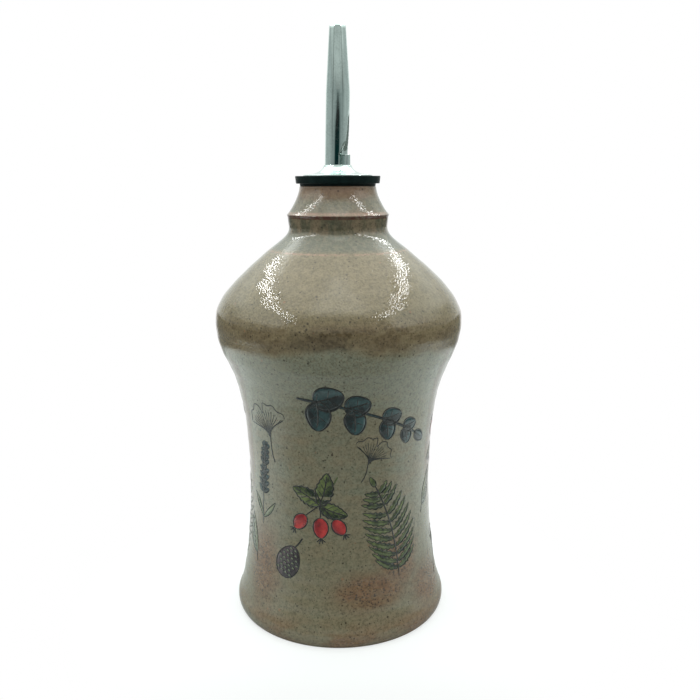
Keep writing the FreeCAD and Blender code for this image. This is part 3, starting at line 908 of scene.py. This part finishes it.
# %% Seed heads and sage
def seed_cone():
    """A dark cone: a blunt oval wash, rows of overlapping arcs for its scales, and a short stem."""
    motif = Motif()
    length, width = 14.5, 11.0
    motif.leaf("purple", (0, 0), UPRIGHT, length, width, 0.0, 0.85, 0.55, veins=0, pen=0.42)
    for row in range(7):
        y = 1.8 + 1.75 * row
        half = width / 2 * math.sin(math.pi * ((y + 0.6) / length) ** 0.85) ** 0.55 - 0.9
        for x in np.arange(-2.5 + 0.5 * (row % 2), 3.1) * 2.15:
            if abs(x) < half:
                turn = np.linspace(-0.3, math.pi + 0.3, 9)
                arc = np.stack([x + 1.08 * np.cos(turn), y + 1.25 * np.sin(turn)], axis=-1)
                motif.stroke(arc, 0.34, "ink", 0.0)
                motif.stroke(arc[2:7] * 0.55 + np.array([x, y]) * 0.45, 0.62, "pale", 0.3)
    motif.stroke(stalk((0, length - 0.3), 1.3, 5.5, 0.4, 8)[1], 0.7)
    return motif


def lavender():
    """A thin stalk with whorls of small blue buds, close at the top, and two narrow leaves below."""
    motif = Motif()
    line = stalk((0, 0), UPRIGHT, 31, -0.3, 32)[1]
    for whorl in range(8):
        at = line[step_at(line, 0.42 + 0.075 * whorl)]
        for heading in (0.55, 1.2, 1.95, 2.6):
            motif.leaf("blue", at, heading, 3.8 - 0.2 * whorl, 1.9, 0.0, 0.8, 0.6, veins=0, pen=0.2)
    for heading in (0.9, 2.3):
        motif.leaf("pale", line[4], heading, 10, 1.9, 0.4, 0.9, 0.9, veins=0, pen=0.26)
    motif.stroke(line, 0.45)
    return motif


def sage_leaf():
    """One long pale leaf with a heavy midrib."""
    motif = Motif()
    motif.leaf("pale", (0, 0), UPRIGHT, 17, 6.6, 0.55, 0.85, 0.8, lobes=9, cut=0.06, veins=6)
    motif.stroke(stalk((0, 0), -1.5, 3.5, 0.3, 6)[1], 0.5)
    return motif


MOTIFS = {made.__name__: made() for made in (round_leaf_sprig, fern, rose_hips, fan_leaf, seed_cone,
                                             lavender, sage_leaf)}
print("motifs:", {name: len(motif.grids) for name, motif in MOTIFS.items()})

# %% [markdown]
# ## Wrapping the transfers
# A transfer is floated off its backing and smoothed down, so it follows every ring that the fingers
# left.  A Shrinkwrap modifier could lay it on the bottle, but outline and relief are formulas already,
# so the flat points can be placed by them, a few hundredths of a millimetre proud.  All sheets of one
# tint share a finish, so they are one piece.

# %% Where the motifs sit
# motif, degrees around from the front, height of its foot in mm, turn in degrees, size, mirrored
LAYOUT = (
    ("fan_leaf", -43, 82, 14, 1.05, False), ("round_leaf_sprig", -22, 102, -34, 1.2, False),
    ("fan_leaf", 16, 74, -26, 0.8, True),
    ("rose_hips", -12, 58, 8, 1.0, False), ("fern", 36, 25, 14, 1.0, False),
    ("seed_cone", -36, 26, -24, 1.0, False), ("lavender", -54, 44, -6, 1.15, False),
    ("sage_leaf", 62, 50, -30, 1.0, False), ("fan_leaf", 80, 22, -35, 0.9, True),
    ("rose_hips", 86, 72, 160, 0.95, True), ("lavender", 108, 20, -8, 1.0, True),
    ("round_leaf_sprig", 108, 92, -28, 1.0, False), ("seed_cone", 134, 63, 30, 1.0, True),
    ("fern", 156, 20, 8, 1.0, True), ("rose_hips", 190, 54, -15, 1.0, False),
    ("fan_leaf", 184, 84, 40, 1.0, False), ("sage_leaf", 208, 22, 25, 1.1, True),
    ("lavender", 212, 58, 10, 1.0, False), ("seed_cone", 232, 24, -15, 1.0, False),
    ("round_leaf_sprig", 214, 98, -24, 1.0, False), ("fern", 262, 20, -12, 1.0, False),
    ("sage_leaf", 300, 30, 20, 1.0, True))


ROLL_END = FOOT_ROWS + FLARE_ROWS
WALL_LINE = outline[ROLL_END:ROLL_END + WAIST_ROWS + BELLY_ROWS]
# how far each tint's sheet stands off the glaze, in mm: the pen line lies on the washes
LIFT = {"purple": 0.028, "green": 0.032, "blue": 0.036, "pale": 0.038, "red": 0.042, "ink": 0.056}


def wrap(flat, tint, degrees, height, turn, size, mirrored):
    """Flat points onto the bottle: turned and sized, then the sideways distance becomes an angle by
    dividing by the radius there, and the radius is the outline less the relief plus the sheet's lift."""
    cosine, sine = math.cos(math.radians(turn)) * size, math.sin(math.radians(turn)) * size
    x, y = flat[..., 0] * (-1 if mirrored else 1), flat[..., 1]
    across_by, level = x * cosine - y * sine, height + x * sine + y * cosine
    radius = np.interp(level, WALL_LINE[:, 1], WALL_LINE[:, 0])
    angle = math.radians(degrees) + across_by / radius
    return place(radius - hand_relief(angle, level) + LIFT[tint], angle, level)


print(len(LAYOUT), "transfers stand around the waist, no lower than", f"{WALL_LINE[0, 1]:.1f} mm")

# %% Laying the transfers
SHEET = 0.05


def lay_transfers(tint):
    """All grids of one tint as a single thin piece, with the tone as a point attribute."""
    points, faces, tones, count = [], [], [], 0
    for name, *where in LAYOUT:
        for kind, grid, tone in MOTIFS[name].grids:
            if kind == tint:
                rows, columns = grid.shape[:2]
                quads = grid_faces(rows, columns, first=count, around=False)
                faces += quads if where[-1] else [quad[::-1] for quad in quads]
                points.append(wrap(grid, tint, *where).reshape(-1, 3))
                tones.append(tone.ravel())
                count += rows * columns
    piece = new_piece("transfer_" + tint, np.concatenate(points), faces)
    wash = piece.data.attributes.new("wash", "FLOAT", "POINT")
    wash.data.foreach_set("value", np.concatenate(tones).astype(np.float32))
    sheet = piece.modifiers.new("sheet", "SOLIDIFY")
    sheet.thickness, sheet.offset = SHEET * MM, -1.0
    return piece


print("a transfer is a sheet of", SHEET, "mm")

# %% Transfer colours
def make_transfer(tint, dark, pale):
    """Watercolour under glaze: tone from the sheet, blotted by noise, with the ware's dots and peel."""
    material, net, shader, here = new_material("transfer_" + tint, IOR=1.58)
    dots, peel = ware_masks(net, here)
    tone = net.add("Attribute", attribute_name="wash").outputs["Fac"]
    blots = net.times(net.minus(net.noise(here, 2.6, 3, 0.6), 0.5), 2.2)
    paint = net.mix(net.plus(tone, blots, clamp=True), colour(*dark), colour(*pale))
    net.feed(shader["Base Color"], net.mix(net.times(dots, 0.6), paint, IRON))
    net.feed(shader["Roughness"], net.ramp(net.noise(here, 6, 3), 0.3, 0.7, 0.14, 0.2))
    relief(net, shader, net.times(peel, 0.25), 0.055)
    return material


TINTS = {"pale": ((84, 96, 74), (118, 120, 94)), "green": ((14, 31, 13), (98, 109, 64)),
         "blue": ((5, 18, 23), (44, 72, 74)), "purple": ((34, 25, 31), (74, 60, 64)),
         "red": ((112, 18, 26), (170, 52, 50)), "ink": ((4, 6, 5), (19, 21, 18))}
for tint, (dark, pale) in TINTS.items():
    sheets = lay_transfers(tint)
    dress(sheets, make_transfer(tint, dark, pale))
    print(f"{sheets.name}: {len(sheets.data.polygons)} quads")

# %% [markdown]
# ## The pourer
# The stopper is moulded black rubber, with ribs that grip the mouth; collar, spout and air tube are
# chromed metal.  The frame's own solids could stay, but their edges are sharp and chrome shows every
# facet, so stopper and collar are turned again from closed outlines with rounded corners and many
# columns.

# %% Rings turned from a closed outline
def turned_piece(name, line, columns, replaced):
    """A closed ring turned from a closed outline of (radius, height) points."""
    line = np.asarray(line, float)
    return turned_skin(name, place(line[:, :1], circle(columns)[None, :], line[:, 1:2]),
                       [replaced], poles=False)


def rounded_line(points, radii, count=5):
    """A closed outline through corner points, each rounded by its own radius."""
    stretches = [corner(points[i - 1], point, points[(i + 1) % len(points)], radius, count)
                 for i, (point, radius) in enumerate(zip(points, radii))]
    return np.concatenate(stretches)


square = rounded_line([(1, 0), (2, 0), (2, 1), (1, 1)], [0.1] * 4)
print("a square ring with rounded corners has an outline of", len(square), "points")

# %% Stopper
# heights and radii in mm; a rib's shape as shares of the pitch and the radius it has there
STOPPER_FOOT, STEP_TOP, FLANGE_TOP = RIM[1] - 24, 180.5, 183.5
HOLE, PLUG, RIB, STEP, FLANGE_BASE, FLANGE = 5.2, 9.45, 10.55, 15.3, 16.85, 17.2
RING_COLUMNS, RIBS, RIB_PITCH = 144, 4, 4.6
RIB_SHAPE = ((0.25, PLUG), (0.65, RIB), (0.8, RIB), (0.9, PLUG))

ribs = [(radius, STOPPER_FOOT + RIB_PITCH * (rib + share))
        for rib in range(RIBS) for share, radius in RIB_SHAPE]
stopper_corners = ([(HOLE, STOPPER_FOOT), (PLUG, STOPPER_FOOT)] + ribs
                   + [(PLUG, RIM[1]), (STEP, RIM[1]), (STEP, STEP_TOP), (FLANGE_BASE, STEP_TOP),
                      (FLANGE, FLANGE_TOP), (HOLE, FLANGE_TOP)])
stopper_radii = [0.05, 0.2] + [0.1] * len(ribs) + [0.05, 0.15, 0.12, 0.3, 0.35, 0.05]
stopper = turned_piece("stopper_rubber", rounded_line(stopper_corners, stopper_radii), RING_COLUMNS,
                       "stopper")
print(f"stopper: {FLANGE_TOP - STOPPER_FOOT:.2f} mm long, {2 * FLANGE:.1f} mm across, {RIBS} ribs")

# %% Collar
COLLAR_TOP, COLLAR, COLLAR_EDGE, COLLAR_COLUMNS = 187.7, 13.9, 0.4, 160
collar_line = np.concatenate([
    corner((HOLE, FLANGE_TOP), (COLLAR, FLANGE_TOP), (COLLAR, FLANGE_TOP + COLLAR_EDGE), 0.12, 4),
    corner((COLLAR, FLANGE_TOP), (COLLAR, FLANGE_TOP + COLLAR_EDGE), (10.0, FLANGE_TOP + 0.7), 0.2, 5),
    cubic((13.6, FLANGE_TOP + 0.42), (8.62, FLANGE_TOP + 0.76), (6.1, FLANGE_TOP + 2.1),
          (5.65, COLLAR_TOP - 0.3), 26),
    corner((5.65, COLLAR_TOP - 0.5), (5.6, COLLAR_TOP), (HOLE, COLLAR_TOP), 0.2, 5),
    straight((HOLE + 0.05, COLLAR_TOP), (HOLE, FLANGE_TOP), 4)])
collar = turned_piece("collar_chrome", collar_line, COLLAR_COLUMNS, "collar")
print(f"collar: {2 * COLLAR:.1f} mm across, {COLLAR_TOP - FLANGE_TOP:.1f} mm tall")

# %% [markdown]
# ## Spout and air tube
# Oil leaves through the long tapered tube while air comes in by the short thin one beside it.  The
# spout's side is pressed in to make room for the air tube, and a cutter would leave knife edges there.
# As a distance around the spout's own centre line, each press is one formula, and a smooth minimum
# rounds the shoulders between presses and wall.

# %% Spout: sizes and presses
# radii, walls and heights in mm; the air tube stands at an angle of its own from the front
TUBE, TIP, WALL, STRAIGHT_TOP, TIP_TOP = 4.75, 3.25, 0.5, 215.8, 240.4
VENT, VENT_WALL, STANDOUT, LEAN, VENT_TOP = 1.7, 0.35, 0.4, 0.7, 191.8
VENT_BEARING = math.radians(90 - 12)
BEND, TILT = 25.0, math.radians(13)
VENT_OFFSET = TUBE + STANDOUT - VENT
# radii of groove and thumb press, how much further out the thumb presses and its angle, how steeply a
# press gives way to the wall, and the margin over which their shoulders are rounded
GROOVE, THUMB, THUMB_OUT, THUMB_BEARING = VENT + 0.12, 2.1, 0.5, math.radians(46)
PAST_GRAZE, SHOULDER = 14.0, 0.35


def smallest(a, b, soft):
    """Smooth minimum: the lower of two values, blended over a soft margin where they are close."""
    share = np.clip(0.5 + 0.5 * (b - a) / soft, 0, 1)
    return b + (a - b) * share - soft * share * (1 - share)


def dent_line(height):
    """How far out the dent's line stands: upright beside the air tube, an arc above it, then a slant."""
    rise = np.maximum(height - VENT_TOP, 0)
    turned = BEND * math.sin(TILT)
    arc = BEND - np.sqrt(BEND ** 2 - np.minimum(rise, turned) ** 2)
    return VENT_OFFSET + arc + np.maximum(rise - turned, 0) * math.tan(TILT)


def press_in(angle, bearing, distance, radius):
    """How far a ray at each angle goes before it meets a circle: d cos(a) - sqrt(r^2 - d^2 sin(a)^2).
    Past the ray that only grazes the circle, the value climbs steeply, so the wall takes over there."""
    aside = np.abs((angle - bearing + math.pi) % (2 * math.pi) - math.pi)
    graze = np.arcsin(np.clip(radius / distance, 0, 1))
    within = np.minimum(aside, graze)
    half_chord = np.sqrt(np.maximum(radius ** 2 - (distance * np.sin(within)) ** 2, 0))
    return distance * np.cos(within) - half_chord + PAST_GRAZE * np.maximum(aside - graze, 0)


print(f"where the taper begins, the groove's line stands {dent_line(STRAIGHT_TOP) - TUBE:.1f} mm outside")

# %% Spout
SPOUT_COLUMNS, LIP = 128, WALL / 2


def spout_wall(height, inset):
    """Points of the spout's wall at each height, moved in by an inset.

    A ray from the tube's centre ends at the round wall or, sooner, at one of two presses: the groove
    for the air tube, and a thumb press beside it that opens the groove to the front.  The smooth minimum
    rounds the shoulders between them.
    """
    angle = circle(SPOUT_COLUMNS)[None, :]
    height = height[:, None]
    lean = LEAN * np.clip((height - COLLAR_TOP) / (STRAIGHT_TOP - COLLAR_TOP), 0, 1) - STANDOUT
    taper = np.clip((height - STRAIGHT_TOP) / (TIP_TOP - STRAIGHT_TOP), 0, 1)
    wall = TUBE + (TIP - TUBE) * taper - inset
    groove_out = dent_line(height) - lean
    thumb_out = groove_out + THUMB_OUT * (1 + np.maximum(height - VENT_TOP, 0))
    groove = press_in(angle, VENT_BEARING, groove_out, GROOVE + inset)
    thumb = press_in(angle, THUMB_BEARING, thumb_out, THUMB + inset)
    reach = smallest(smallest(wall + 0 * angle, groove, SHOULDER), thumb, SHOULDER)
    x = lean * math.sin(VENT_BEARING) + reach * np.sin(angle)
    y = -lean * math.cos(VENT_BEARING) - reach * np.cos(angle)
    return np.stack([x, y, height + 0 * angle], axis=-1) * MM


heights = np.concatenate([np.linspace(STOPPER_FOOT, COLLAR_TOP - 1, 10), np.linspace(COLLAR_TOP, 212, 60),
                          np.linspace(212.5, 219, 14), np.linspace(220, TIP_TOP - LIP, 20)])
lip_rows = [spout_wall(np.array([TIP_TOP - LIP + LIP * math.sin(turn)]), LIP * (1 - math.cos(turn)))
            for turn in np.linspace(0, math.pi, 7)[1:-1]]
spout = turned_skin("spout_chrome", np.concatenate([
    spout_wall(heights, 0.0), *lip_rows, spout_wall(heights[::-1], WALL)]),
    ["spout"], poles=False)
print(f"spout: {TIP_TOP - STOPPER_FOOT:.1f} mm long, leaning {LEAN} mm, {len(spout.data.polygons)} quads")

# %% Air tube
VENT_COLUMNS = 64
vent_line = rounded_line([(VENT, STOPPER_FOOT), (VENT, VENT_TOP), (VENT - VENT_WALL, VENT_TOP),
                          (VENT - VENT_WALL, STOPPER_FOOT)], [0.05, 0.1, 0.1, 0.05], 4)
vent_rows = place(vent_line[:, :1], circle(VENT_COLUMNS)[None, :], vent_line[:, 1:2])
vent_rows += np.array([math.sin(VENT_BEARING), -math.cos(VENT_BEARING), 0]) * VENT_OFFSET * MM
vent = turned_skin("vent_tube_chrome", vent_rows, ["vent_tube"], poles=False)
print(f"air tube: {2 * VENT:.1f} mm across, {VENT_TOP - COLLAR_TOP:.1f} mm proud of the collar")

# %% [markdown]
# ## Chrome and rubber
# Chrome is a mirror: nearly all of its look comes from the tent.  What it adds is a cool grey, a slight
# haze where fingers touched it, and fine lines along the tube, as drawing and polishing leave them.
# Rubber is the opposite, a black that only shows at glancing angles, with a fine moulded grain and a
# little dust.  Both could be plain colours, but then a close view would look like plastic.

# %% Pourer materials
def make_chrome():
    """Cool mirror metal with faint smudges and fine polishing lines along the piece."""
    material, net, shader, here = new_material("polished_chrome", Metallic=1.0)
    marks = use(net, "smudge", here, Size=5.0, Amount=0.7)
    drawn = net.add("Mapping", {"Vector": here, "Scale": (1.0, 1.0, 0.03)}).outputs[0]
    tone = net.mix(marks, colour(218, 233, 229), colour(194, 208, 204))
    lines = net.ramp(net.noise(drawn, 0.9, 2, 0.6), 0.35, 0.65, 0.0, 0.35)
    net.feed(shader["Base Color"], net.mix(lines, tone, colour(176, 190, 186)))
    net.feed(shader["Roughness"], net.plus(0.035, net.times(marks, 0.1)))
    relief(net, shader, net.noise(drawn, 0.35, 2), 0.0015)
    return material


def make_rubber():
    """Black rubber: matt, a little paler where dust lies, with moulded grain."""
    material, net, shader, here = new_material("black_rubber", IOR=1.4, Specular_IOR_Level=0.15)
    dust = use(net, "smudge", here, Size=3.0, Amount=0.5)
    net.feed(shader["Base Color"], net.mix(dust, colour(6, 19, 18), colour(20, 40, 38)))
    net.feed(shader["Roughness"], net.ramp(net.noise(here, 1.2, 2), 0.3, 0.7, 0.38, 0.55))
    relief(net, shader, use(net, "peel", here, Grain=0.35, Coarse=0.5), 0.02)
    return material


chrome = make_chrome()
for piece in (collar, spout, vent):
    dress(piece, chrome)
dress(stopper, make_rubber())
print("materials:", ", ".join(sorted(material.name for material in bpy.data.materials)))
